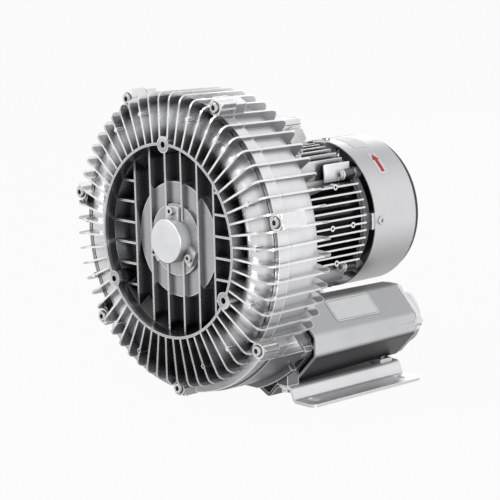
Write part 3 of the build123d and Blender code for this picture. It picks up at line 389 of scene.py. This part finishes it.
# parts of the blotch noise that go from one tone, or one gloss, to the other
blotchTone = (0.35, 0.65)
blotchGloss = (0.3, 0.7)


def tieGloss(tree, look, grain, skin):
    gloss = spread(tree, grain.outputs["Blotch"], look["smooth"], look["rough"], *blotchGloss)
    tree.links.new(gloss, skin.inputs["Roughness"])


def tieBump(tree, look, height, skin):
    bump = addNode(tree, "ShaderNodeBump", Strength=look["bump"], Distance=look["bumpDepth"])
    tree.links.new(height, bump.inputs["Height"])
    tree.links.new(bump.outputs[0], skin.inputs["Normal"])


def metalPaint(name, look):
    paint = bpy.data.materials.new(name)
    paint.use_nodes = True
    tree = paint.node_tree
    tree.nodes.clear()
    out = addNode(tree, "ShaderNodeOutputMaterial")
    skin = addNode(tree, "ShaderNodeBsdfPrincipled", Metallic=look["metallic"])
    grain = placeGroup(tree, castGrain, Grain_Scale=look["grain"], Pit_Scale=look["pits"], Blotch_Scale=look["blotch"])
    shade = placeGroup(tree, paintedShadeAndHighlight, Reach=look["reach"], Edge_Reach=look["edgeReach"], Depth=look["depth"])
    patches = spread(tree, grain.outputs["Blotch"], 0.0, 1.0, *blotchTone)
    tone = mixColours(tree, patches, look["dull"], look["bright"])
    # zones of painted shade
    if "shadeZones" in look:
        measures = placeMeasures(tree)
        for zone in look["shadeZones"]:
            tone = mixColours(tree, zoneMask(tree, measures, zone), tone, zone["colour"])
    # painted shade on faces turned down
    tone = mixColours(tree, spread(tree, shade.outputs["Under Shade"], 0.0, look["underShare"]), tone, look["under"])
    # painted shade on faces turned up
    if "topShare" in look:
        tone = mixColours(tree, spread(tree, shade.outputs["Top"], 0.0, look["topShare"]), tone, look["top"])
    # painted shade in recesses
    recessShaded = mixColours(tree, shade.outputs["Open"], look["recessShade"], tone)
    # painted highlight on convex edges
    colour = mixColours(tree, spread(tree, shade.outputs["Edge"], 0.0, look["edgeHighlightShare"]), recessShaded, look["edgeHighlight"])
    tree.links.new(colour, skin.inputs["Base Color"])
    tieGloss(tree, look, grain, skin)
    height = grain.outputs["Height"]
    if look.get("strokes"):
        height = placeGroup(tree, strokes, Fineness=look["strokes"]).outputs["Height"]
    tieBump(tree, look, height, skin)
    tree.links.new(skin.outputs[0], out.inputs["Surface"])
    return paint


castLook = {
    "metallic": 0.85,
    "dull": (0.74, 0.745, 0.755),
    "bright": (0.82, 0.825, 0.835),
    # the recess colour is painted shade in recesses, the under colour painted shade on downward faces, the edge colour
    # a painted highlight on convex edges; reach and depth set how wide and strong the painted recess shade is
    "recessShade": (0.02, 0.02, 0.022),
    "under": (0.1, 0.101, 0.106),
    "underShare": 0.75,
    "edgeHighlight": (0.95, 0.95, 0.96),
    "edgeHighlightShare": 0.85,
    "smooth": 0.2,
    "rough": 0.27,
    "grain": 1100.0,
    "pits": 420.0,
    "blotch": 30.0,
    "reach": 0.016,
    "edgeReach": 0.0018,
    "depth": 0.6,
    "bump": 0.08,
    "bumpDepth": 0.0006,
}
# painted shade colours, laid where shade falls on the castings, sheets and feet
valleyShadeGrey = (0.24, 0.242, 0.248)
shadeGrey = (0.14, 0.142, 0.148)
skirtShadeGrey = (0.12, 0.122, 0.128)
tipShadeGrey = (0.1, 0.102, 0.106)
slopeShadeGrey = (0.04, 0.041, 0.043)
gapShadeBlack = (0.03, 0.03, 0.032)
holeShadeBlack = (0.02, 0.02, 0.022)
# zones of painted shade on the front cover: the lower fins, the lowest valleys, beside the rim, under the lip and in
# the front dish
lowFinsShade = {"colour": skirtShadeGrey, "share": 0.7, "limits": [("z", 0.1, 0.03)]}
lowestValleysShade = {
    "colour": gapShadeBlack,
    "share": 0.85,
    "limits": [("radius", 0.1165, 0.119), ("radius", 0.1665, 0.1635), ("z", 0.085, 0.07), ("across", 0.085, 0.06)],
}
besideRimShade = {"colour": valleyShadeGrey, "share": 0.7, "limits": [("radius", 0.13, 0.1155)]}
underLip = {"colour": shadeGrey, "share": 0.75, "limits": [("radius", 0.156, 0.163), ("radius", 0.1715, 0.1705)]}
dishFloorShade = {
    "colour": shadeGrey,
    "share": 1.0,
    "limits": [("radius", 0.1144, 0.1132), ("radius", 0.0697, 0.0707), ("y", -0.1738, -0.1655)],
}
dishWallShade = {
    "colour": shadeGrey,
    "share": 1.0,
    "limits": [("radius", 0.1144, 0.1132), ("radius", 0.1035, 0.1045), ("y", -0.185, -0.182)],
}
dishSlopeShade = {
    "colour": slopeShadeGrey,
    "share": 1.0,
    "limits": [("radius", 0.1129, 0.1125), ("radius", 0.1, 0.1035), ("y", -0.1745, -0.173)],
}
# painted shade on the rear housing's skirt and on its lower outer fin tips
rearSkirtShade = {
    "colour": skirtShadeGrey,
    "share": 0.9,
    "limits": [("radius", 0.1775, 0.1785), ("z", 0.078, 0.068), ("y", -0.0935, -0.0945)],
}
rearFinTipsShade = {
    "colour": tipShadeGrey,
    "share": 0.85,
    "limits": [("radius", 0.16, 0.164), ("y", -0.0985, -0.0965), ("z", 0.3, 0.22)],
}
# painted shade around the motor frame's lugs
frameLugsShade = {
    "colour": gapShadeBlack,
    "share": 0.85,
    "limits": [
        ("across", 0.0485, 0.0495),
        ("across", 0.0665, 0.0655),
        ("rise", 0.0485, 0.0495),
        ("rise", 0.0665, 0.0655),
        ("y", 0.0395, 0.0405),
    ],
}
# painted shade inside the lug bush holes and on the bushes' outer sides
bushHoleShade = {"colour": holeShadeBlack, "share": 0.95, "limits": [("y", 0.0443, 0.0446)]}
# painted shade on the inner part of the foot rails
railInsideShade = {"colour": gapShadeBlack, "share": 0.9, "limits": [("across", 0.0915, 0.087)]}
# sheet metal gets painted shade on its top faces as well as underneath
sheetLook = dict(
    castLook, metallic=0.5, dull=(0.58, 0.585, 0.595), bright=(0.65, 0.655, 0.665), smooth=0.36, rough=0.42,
    top=valleyShadeGrey, topShare=0.7, under=(0.015, 0.015, 0.017), underShare=1.0, edgeHighlightShare=0.5,
    grain=2400.0, pits=1500.0, blotch=9.0, bump=0.05, reach=0.04, depth=0.9,
)
steelLook = dict(
    castLook, metallic=0.9, dull=(0.5, 0.5, 0.49), bright=(0.66, 0.66, 0.65), smooth=0.2, rough=0.34,
    grain=2000.0, pits=900.0, bump=0.05, reach=0.006, edgeReach=0.0012, depth=1.0,
)
looks = {
    "castAlloy": castLook,
    "coverAlloy": dict(
        castLook, dull=(0.8, 0.805, 0.81), bright=(0.87, 0.875, 0.88), depth=0.55, reach=0.011, smooth=0.24, rough=0.31,
        shadeZones=[lowFinsShade, lowestValleysShade, besideRimShade, underLip, dishFloorShade, dishWallShade, dishSlopeShade],
    ),
    "rearAlloy": dict(
        castLook, dull=(0.79, 0.795, 0.8), bright=(0.86, 0.865, 0.87), depth=0.35, smooth=0.33, rough=0.42,
        shadeZones=[rearSkirtShade, rearFinTipsShade],
    ),
    # these castings get stronger painted shade in their recesses
    "endAlloy": dict(castLook, reach=0.012, depth=1.3),
    "lugAlloy": dict(
        castLook, metallic=0.3, dull=(0.86, 0.865, 0.87), bright=(0.92, 0.925, 0.93), reach=0.012, depth=1.4,
        shadeZones=[bushHoleShade],
    ),
    "motorAlloy": dict(castLook, reach=0.03, depth=1.8, recessShade=(0.012, 0.012, 0.013), shadeZones=[frameLugsShade]),
    "capAlloy": dict(castLook, metallic=0.55, smooth=0.4, rough=0.5, reach=0.008, depth=0.8, edgeHighlightShare=0.3),
    "silverSheet": dict(sheetLook, reach=0.012, depth=0.5),
    # the cowl's top faces get a dark painted shade
    "cowlSheet": dict(
        sheetLook, metallic=0.6, dull=(0.5, 0.505, 0.515), bright=(0.56, 0.565, 0.575), smooth=0.32, rough=0.38,
        top=(0.15, 0.152, 0.158), topShare=0.95,
    ),
    "footSteel": dict(
        sheetLook, metallic=0.7, dull=(0.72, 0.725, 0.735), bright=(0.8, 0.805, 0.815), reach=0.01, depth=0.4,
        topShare=0.0, smooth=0.3, rough=0.38, shadeZones=[railInsideShade],
    ),
    "zincScrew": steelLook,
    "groundSteel": dict(steelLook, metallic=1.0, smooth=0.16, rough=0.24, strokes=1400.0),
    "turnedAlloy": dict(steelLook, dull=(0.62, 0.63, 0.64), bright=(0.76, 0.77, 0.78), strokes=900.0, bump=0.1),
    # the edge colours below are painted highlights on convex edges
    "coreSheets": dict(
        steelLook, dull=(0.12, 0.12, 0.13), bright=(0.22, 0.22, 0.24), edgeHighlight=(0.3, 0.3, 0.3), smooth=0.45, rough=0.6,
    ),
    "copperWire": dict(
        steelLook, dull=(0.42, 0.12, 0.04), bright=(0.66, 0.26, 0.1), edgeHighlight=(0.8, 0.4, 0.2), bump=0.5, bumpDepth=0.001,
        strokes=500.0,
    ),
    "turnedBrass": dict(steelLook, dull=(0.6, 0.4, 0.13), bright=(0.75, 0.54, 0.22), edgeHighlight=(0.9, 0.75, 0.4)),
    "piercedSteel": dict(steelLook, dull=(0.4, 0.41, 0.42), bright=(0.54, 0.55, 0.56)),
}


def softPaint(name, look):
    paint = bpy.data.materials.new(name)
    paint.use_nodes = True
    tree = paint.node_tree
    tree.nodes.clear()
    out = addNode(tree, "ShaderNodeOutputMaterial")
    skin = addNode(tree, "ShaderNodeBsdfPrincipled", Metallic=0.0)
    grain = placeGroup(tree, castGrain, Grain_Scale=look["grain"], Pit_Scale=look["pits"], Pits=look["pitShare"])
    colour = mixColours(tree, grain.outputs["Blotch"], look["dark"], look["light"])
    tree.links.new(colour, skin.inputs["Base Color"])
    tieGloss(tree, look, grain, skin)
    tieBump(tree, look, grain.outputs["Height"], skin)
    tree.links.new(skin.outputs[0], out.inputs["Surface"])
    return paint


plasticLook = {
    "dark": (0.018, 0.018, 0.02), "light": (0.035, 0.035, 0.038), "smooth": 0.42, "rough": 0.56, "grain": 1800.0,
    "pits": 900.0, "pitShare": 0.5, "bump": 0.2, "bumpDepth": 0.0004,
}
softLooks = {
    "blackPlastic": plasticLook,
    "sealRubber": dict(plasticLook, smooth=0.62, rough=0.75, bump=0.3),
    "greyFoam": dict(
        plasticLook, dark=(0.06, 0.06, 0.065), light=(0.16, 0.16, 0.17), smooth=0.85, rough=0.95, pits=500.0,
        pitShare=1.4, bump=1.0, bumpDepth=0.0015,
    ),
    "labelFilm": dict(
        plasticLook, dark=(0.74, 0.75, 0.76), light=(0.84, 0.85, 0.86), smooth=0.3, rough=0.38, bump=0.03, grain=900.0
    ),
    "labelLine": dict(
        plasticLook, dark=(0.22, 0.22, 0.23), light=(0.28, 0.28, 0.29), smooth=0.3, rough=0.4, bump=0.03
    ),
    "whitePlate": dict(
        plasticLook, dark=(0.78, 0.78, 0.79), light=(0.86, 0.86, 0.87), smooth=0.34, rough=0.44, bump=0.03
    ),
    "arrowRed": dict(
        plasticLook, dark=(0.42, 0.004, 0.008), light=(0.52, 0.008, 0.014), smooth=0.3, rough=0.4, bump=0.03
    ),
}
paints = {name: metalPaint(name, look) for name, look in looks.items()}
paints.update({name: softPaint(name, look) for name, look in softLooks.items()})

slotPaints = {
    "cast_alloy": "castAlloy", "silver_sheet": "silverSheet", "pressed_steel": "footSteel",
    "machined_alloy": "turnedAlloy", "plated_screws": "zincScrew", "ground_steel": "groundSteel",
    "laminations": "coreSheets", "copper_wire": "copperWire", "brass": "turnedBrass",
    "black_plastic": "blackPlastic", "seal_rubber": "sealRubber", "perforated_steel": "piercedSteel",
    "foam": "greyFoam",
}
ownPaints = {
    "front_cover": "coverAlloy", "rear_housing": "rearAlloy", "motor_frame": "motorAlloy", "bearing_cap": "capAlloy",
    "fan_cowl": "cowlSheet", "silencer_end_left": "endAlloy", "silencer_end_right": "endAlloy",
}
slotOf = {part["node"]: part["material_slot"] for part in frame["record"]["subparts"]}


def paintNodes():
    for name, node in nodes.items():
        paint = paints[ownPaints.get(name, slotPaints[slotOf[name]])]
        if not node.data.materials:
            node.data.materials.append(paint)
        for place in range(len(node.data.materials)):
            node.data.materials[place] = paint


paintNodes()
print("materials on", len(nodes), "nodes")


def onlyThis(piece):
    bpy.ops.object.select_all(action="DESELECT")
    piece.select_set(True)
    bpy.context.view_layer.objects.active = piece


def startPiece(name):
    piece = bpy.context.object
    piece.name = name
    piece.data.name = name
    onlyThis(piece)
    return piece


def applyAll(piece):
    onlyThis(piece)
    for modifier in list(piece.modifiers):
        bpy.ops.object.modifier_apply(modifier=modifier.name)


def finishPiece(piece, body, paintNames, smoothAngle):
    onlyThis(piece)
    bpy.ops.object.transform_apply(location=True, rotation=True, scale=True)
    applyAll(piece)
    bpy.ops.object.shade_smooth_by_angle(angle=math.radians(smoothAngle))
    while len(piece.data.materials) < len(paintNames):
        piece.data.materials.append(None)
    for place, paintName in enumerate(paintNames):
        piece.data.materials[place] = paints[paintName]
    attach(piece, body)


foamSleeve = {
    "weld": 0.00001,
    "voxel": 0.0032,
    "swell": 0.0006,
    "lumps": 0.012,
    "swellFrom": 1.0,  # the lumps reach up to this value, so the skin only sinks
    "smoothAngle": 60,
}


def foamPiece(name, node):
    bpy.ops.object.select_all(action="DESELECT")
    piece = nodes[node].copy()
    piece.data = nodes[node].data.copy()
    piece.name = name
    piece.data.name = name
    scene.collection.objects.link(piece)
    onlyThis(piece)
    bpy.ops.object.mode_set(mode="EDIT")
    bpy.ops.mesh.select_all(action="SELECT")
    bpy.ops.mesh.remove_doubles(threshold=foamSleeve["weld"])
    bpy.ops.object.mode_set(mode="OBJECT")
    cells = piece.modifiers.new("cells", "REMESH")
    cells.mode = "VOXEL"
    cells.voxel_size = foamSleeve["voxel"]
    lumps = bpy.data.textures.new(name + "Lumps", "CLOUDS")
    lumps.noise_scale = foamSleeve["lumps"]
    swell = piece.modifiers.new("swell", "DISPLACE")
    swell.texture = lumps
    swell.texture_coords = "LOCAL"
    swell.strength = foamSleeve["swell"]
    swell.mid_level = foamSleeve["swellFrom"]
    finishPiece(piece, "casing", ["greyFoam"], foamSleeve["smoothAngle"])
    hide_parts(node)


for side in ("left", "right"):
    foamPiece("foamSleeve_" + side, "silencer_foam_" + side)
print("foam sleeves made")


def wrapOn(piece, onto, gap):
    wrap = piece.modifiers.new("wrap", "SHRINKWRAP")
    wrap.target = nodes[onto]
    wrap.wrap_mode = "ABOVE_SURFACE"
    wrap.offset = gap
    applyAll(piece)


def thicken(piece, thickness):
    wall = piece.modifiers.new("wall", "SOLIDIFY")
    wall.thickness = thickness
    wall.offset = 1


# cuts across a flat piece, so that it can bend round what it is stuck on
def cutAcross(length, cuts):
    for step in range(1, cuts):
        bpy.ops.mesh.select_all(action="SELECT")
        across = length * (step / cuts - 0.5)
        bpy.ops.mesh.bisect(plane_co=(across, 0, 0), plane_no=(1, 0, 0))


plateMake = {"cornerSteps": 5, "smoothAngle": 35}


# a bare label: rounded corners, a printed line inside its edge if it has a border, then wrapped on its sheet
def blankPlate(name, plate, paintNames):
    bpy.ops.object.select_all(action="DESELECT")
    bpy.ops.mesh.primitive_plane_add(size=1, location=(0, 0, 0))
    piece = startPiece(name)
    piece.scale = (plate["width"], plate["length"], 1)
    bpy.ops.object.transform_apply(scale=True)
    bpy.ops.object.mode_set(mode="EDIT")
    bpy.ops.mesh.select_all(action="SELECT")
    bpy.ops.mesh.bevel(offset=plate["corner"], segments=plateMake["cornerSteps"], affect="VERTICES")
    if "border" in plate:
        bpy.ops.mesh.select_all(action="SELECT")
        bpy.ops.mesh.inset(thickness=plate["margin"], depth=0)
        bpy.ops.mesh.inset(thickness=plate["border"], depth=0)
        bpy.ops.object.mode_set(mode="OBJECT")
        faces = list(piece.data.polygons)
        sides = (len(faces) - 1) // 2
        for face in faces[-sides:]:
            face.material_index = 1
        bpy.ops.object.mode_set(mode="EDIT")
    cutAcross(plate["width"], plate.get("cuts", 0))
    bpy.ops.object.mode_set(mode="OBJECT")
    piece.matrix_world = plate["place"]
    onlyThis(piece)
    bpy.ops.object.transform_apply(location=True, rotation=True, scale=True)
    wrapOn(piece, plate["onto"], plate["gap"])
    thicken(piece, plate["thick"])
    finishPiece(piece, "casing", paintNames, plateMake["smoothAngle"])


def facing(centre, outward, along):
    zAxis = Vector(outward).normalized()
    yAxis = Vector(along).normalized()
    xAxis = yAxis.cross(zAxis).normalized()
    place = Matrix((xAxis, yAxis, zAxis)).transposed().to_4x4()
    place.translation = Vector(centre)
    return place


def aroundShaft(degrees, radius, y):
    turn = math.radians(degrees)
    outward = Vector((math.sin(turn), 0, math.cos(turn)))
    centre = outward * radius + Vector((0, y, shaft["height"]))
    return facing(centre, outward, (0, 1, 0))


silencerLabel = {
    "width": 0.0316, "length": 0.0745, "corner": 0.004, "margin": 0.0016, "border": 0.0007, "thick": 0.00025,
    "gap": 0.0004, "onto": "silencer_body_right", "place": facing((0.1146, 0.0085, 0.1027), (1, 0, 1), (0, 1, 0)),
}
cowlLabel = {
    "width": 0.037, "length": 0.026, "corner": 0.001, "thick": 0.0002, "gap": 0.0001, "cuts": 12,
    "onto": "fan_cowl", "place": aroundShaft(14.5, 0.0934, 0.1025),
}
arrowBacking = {
    "width": 0.0345, "length": 0.0142, "corner": 0.0008, "thick": 0.0002, "gap": 0.0001, "cuts": 12,
    "onto": "fan_cowl", "place": aroundShaft(44.7, 0.0934, 0.1045),
}
for name, plate, paintNames in (
    ("silencerLabel", silencerLabel, ["labelFilm", "labelLine"]),
    ("cowlLabel", cowlLabel, ["whitePlate"]),
    ("arrowBacking", arrowBacking, ["labelFilm"]),
):
    blankPlate(name, plate, paintNames)
print("labels on")

# low and high are over the shaft line
sideFin = {
    "x": 0.0564,
    "thick": 0.0022,
    "front": 0.019,
    "rear": 0.062,
    "low": 0.05,
    "high": 0.0722,
    "bevel": 0.00055,
    "bevelSteps": 2,
    "smoothAngle": 40,
}


def sideFinPiece(name, side):
    middle = ((sideFin["front"] + sideFin["rear"]) / 2, shaft["height"] + (sideFin["low"] + sideFin["high"]) / 2)
    bpy.ops.object.select_all(action="DESELECT")
    bpy.ops.mesh.primitive_cube_add(size=1, location=(side * sideFin["x"],) + middle)
    piece = startPiece(name)
    piece.scale = (sideFin["thick"], sideFin["rear"] - sideFin["front"], sideFin["high"] - sideFin["low"])
    bpy.ops.object.transform_apply(scale=True)
    bpy.ops.object.mode_set(mode="EDIT")
    bpy.ops.mesh.select_all(action="SELECT")
    bpy.ops.mesh.bevel(offset=sideFin["bevel"], segments=sideFin["bevelSteps"], affect="EDGES")
    bpy.ops.object.mode_set(mode="OBJECT")
    finishPiece(piece, "casing", ["rearAlloy"], sideFin["smoothAngle"])


# upper and lower are x and z from the shaft line, on the middle of a frame lug, and face is where its ring begins
lugBush = {
    "radius": 0.0072,
    "sides": 40,
    "hole": 0.0033,
    "sink": 0.0035,
    "face": 0.0435,
    "length": 0.0045,
    "round": 0.0007,
    "upper": (0.0573, 0.0573),
    "lower": (0.0573, -0.0573),
    "frontNormal": -0.9,
    "smoothAngle": 40,
}


def lugBushPiece(name, x, z):
    bpy.ops.object.select_all(action="DESELECT")
    bpy.ops.mesh.primitive_cylinder_add(
        vertices=lugBush["sides"],
        radius=lugBush["radius"],
        depth=lugBush["length"],
        rotation=(math.radians(90), 0, 0),
        location=(x, lugBush["face"] + lugBush["length"] / 2, shaft["height"] + z),
    )
    piece = startPiece(name)
    bpy.ops.object.transform_apply(rotation=True)
    bpy.ops.object.mode_set(mode="EDIT")
    bpy.ops.mesh.select_mode(type="FACE")
    bpy.ops.mesh.select_all(action="DESELECT")
    bpy.ops.object.mode_set(mode="OBJECT")
    for face in piece.data.polygons:
        face.select = face.normal.y < lugBush["frontNormal"]
    bpy.ops.object.mode_set(mode="EDIT")
    bpy.ops.mesh.inset(thickness=lugBush["round"], depth=lugBush["round"])
    bpy.ops.mesh.inset(thickness=lugBush["radius"] - lugBush["hole"] - lugBush["round"], depth=0)
    bpy.ops.mesh.extrude_region_move(TRANSFORM_OT_translate={"value": (0, lugBush["sink"], 0)})
    bpy.ops.object.mode_set(mode="OBJECT")
    finishPiece(piece, "casing", ["lugAlloy"], lugBush["smoothAngle"])


for side, word in ((1, "Right"), (-1, "Left")):
    sideFinPiece("sideFin" + word, side)
    for level in ("upper", "lower"):
        x, z = lugBush[level]
        lugBushPiece("lugBush" + level.capitalize() + word, side * x, z)
print("side fins and lug bushes on")


arrow = {
    "length": 0.0285,
    "shaftWidth": 0.0052,
    "headLength": 0.0102,
    "thick": 0.00012,
    "cuts": 14,
    "onto": "fan_cowl",
    "gap": 0.00032,
    "place": aroundShaft(44.1, 0.0936, 0.1045),
    "smoothAngle": 35,
}


def rotationArrow():
    half = arrow["length"] / 2
    tail = arrow["length"] - arrow["headLength"]
    headRadius = arrow["headLength"] / 1.5  # a triangle is one and a half times as high as its circle's radius
    bpy.ops.object.select_all(action="DESELECT")
    bpy.ops.mesh.primitive_circle_add(
        vertices=3, radius=headRadius, fill_type="NGON",
        location=(headRadius - half, 0, 0), rotation=(0, 0, math.radians(90)),
    )
    head = bpy.context.object
    bpy.ops.mesh.primitive_plane_add(size=1, location=(half - tail / 2, 0, 0))
    piece = startPiece("rotationArrow")
    piece.scale = (tail, arrow["shaftWidth"], 1)
    head.select_set(True)
    bpy.ops.object.join()
    bpy.ops.object.transform_apply(location=True, rotation=True, scale=True)
    bpy.ops.object.mode_set(mode="EDIT")
    cutAcross(arrow["length"], arrow["cuts"])
    bpy.ops.mesh.select_all(action="SELECT")
    bpy.ops.mesh.normals_make_consistent(inside=False)
    bpy.ops.object.mode_set(mode="OBJECT")
    piece.matrix_world = arrow["place"]
    onlyThis(piece)
    bpy.ops.object.transform_apply(location=True, rotation=True, scale=True)
    wrapOn(piece, arrow["onto"], arrow["gap"])
    thicken(piece, arrow["thick"])
    finishPiece(piece, "casing", ["arrowRed"], arrow["smoothAngle"])


rotationArrow()
print("rotation arrow on")
